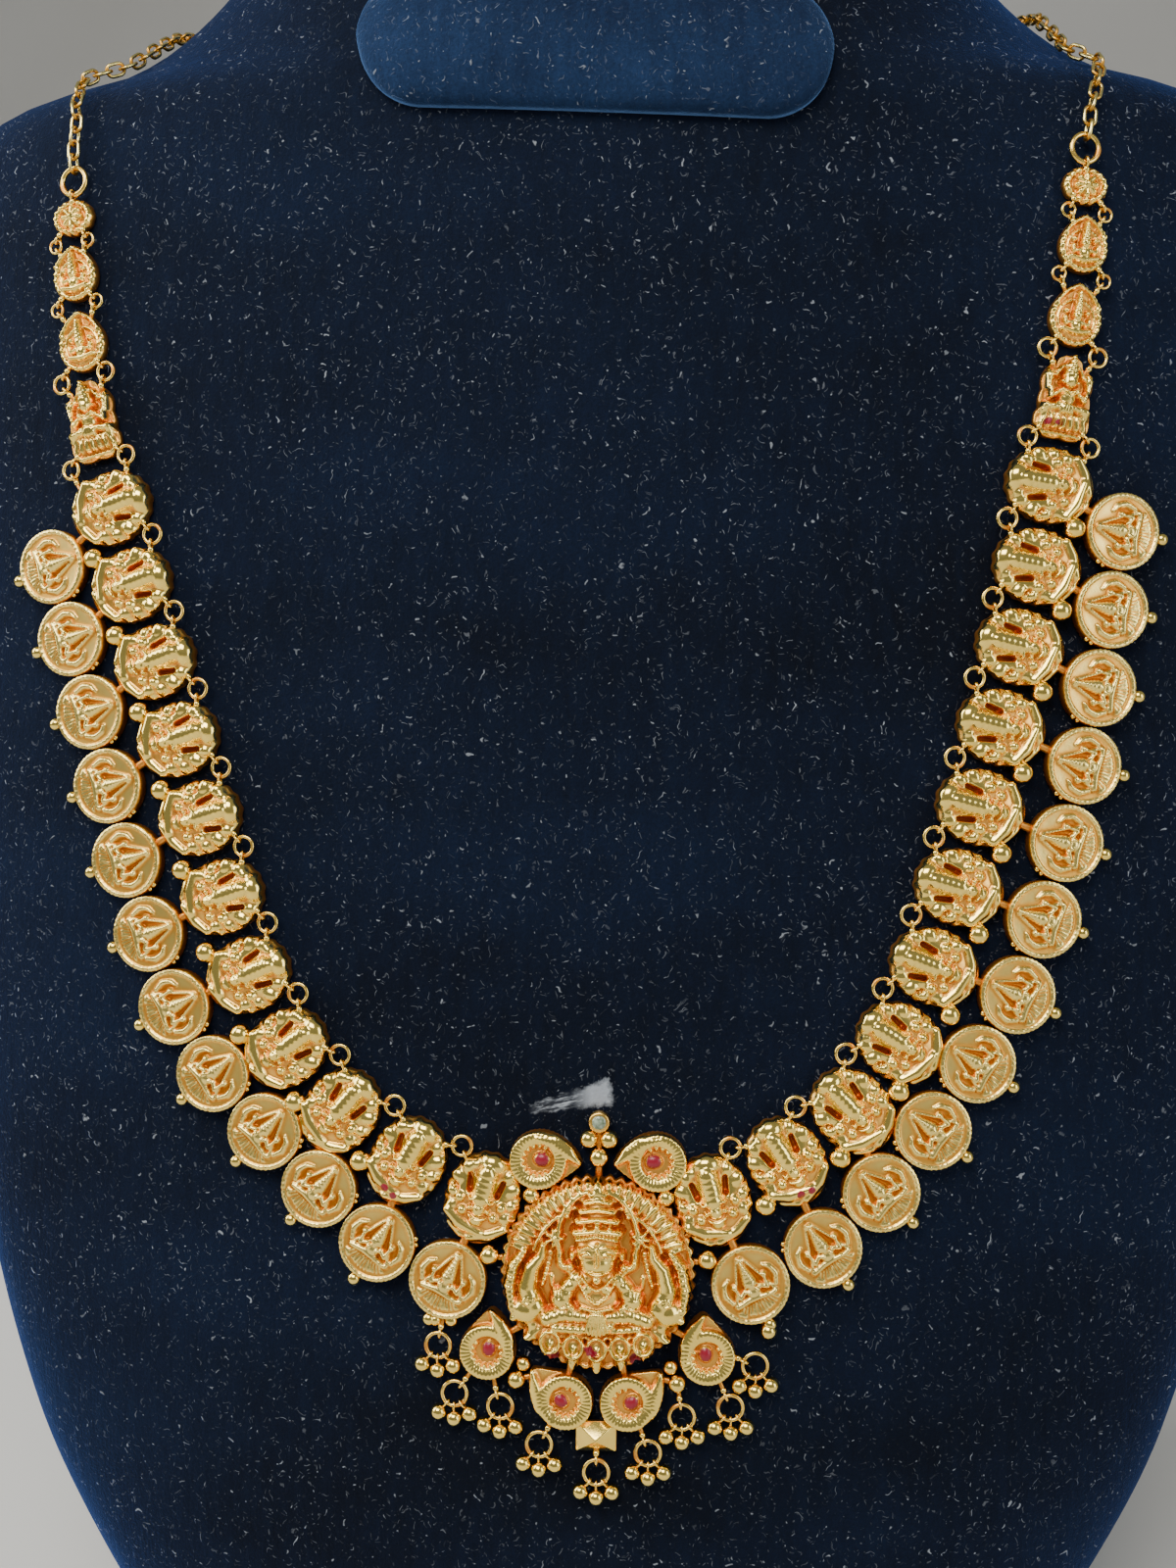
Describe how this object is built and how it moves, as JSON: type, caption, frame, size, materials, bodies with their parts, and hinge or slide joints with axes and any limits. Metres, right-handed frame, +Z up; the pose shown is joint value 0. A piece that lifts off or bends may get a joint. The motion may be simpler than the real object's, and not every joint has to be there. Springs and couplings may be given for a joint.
{
  "type": "temple jewellery necklace on neck bust",
  "caption": "Temple jewellery necklace of domed deity plaques, coins and a deity pendant with bead drops, on a velvet neck bust.",
  "frame": {"origin": "centre of the bounding box at its bottom, on the surface the bust stands on", "axes": "+Z up the bust, -Y out of its chest towards the viewer, +X to the viewer's right"},
  "size_m": [0.244, 0.132, 0.324],
  "materials": {
    "temple_gold": "antique matte gold, polished on the high points",
    "chain_gold": "bright gold wire",
    "black_velvet": "short pile velvet"
  },
  "bodies": {
    "root": {"neck_bust": "black_velvet", "throat_pad": "black_velvet", "pendant": "temple_gold", "left_link_1": "temple_gold", "left_link_2": "temple_gold", "left_link_3": "temple_gold", "left_link_4": "temple_gold", "left_link_5": "temple_gold", "left_link_6": "temple_gold", "left_link_7": "temple_gold", "left_link_8": "temple_gold", "left_link_9": "temple_gold", "left_link_10": "temple_gold", "right_link_1": "temple_gold", "right_link_2": "temple_gold", "right_link_3": "temple_gold", "right_link_4": "temple_gold", "right_link_5": "temple_gold", "right_link_6": "temple_gold", "right_link_7": "temple_gold", "right_link_8": "temple_gold", "right_link_9": "temple_gold", "right_link_10": "temple_gold", "left_rings": "temple_gold", "right_rings": "temple_gold", "left_deity_link": "temple_gold", "left_leaf_link_2": "temple_gold", "left_leaf_link_1": "temple_gold", "left_oval_link": "temple_gold", "right_deity_link": "temple_gold", "right_leaf_link_2": "temple_gold", "right_leaf_link_1": "temple_gold", "right_oval_link": "temple_gold", "left_top_rings": "temple_gold", "right_top_rings": "temple_gold", "left_end_ring": "temple_gold", "right_end_ring": "temple_gold", "chain_left": "chain_gold", "chain_right": "chain_gold", "clasp": "chain_gold", "drop_1": "temple_gold", "drop_2": "temple_gold", "drop_3": "temple_gold", "drop_4": "temple_gold", "drop_5": "temple_gold", "drop_6": "temple_gold", "drop_7": "temple_gold", "drop_8": "temple_gold", "drop_9": "temple_gold"}
  },
  "joints": []
}
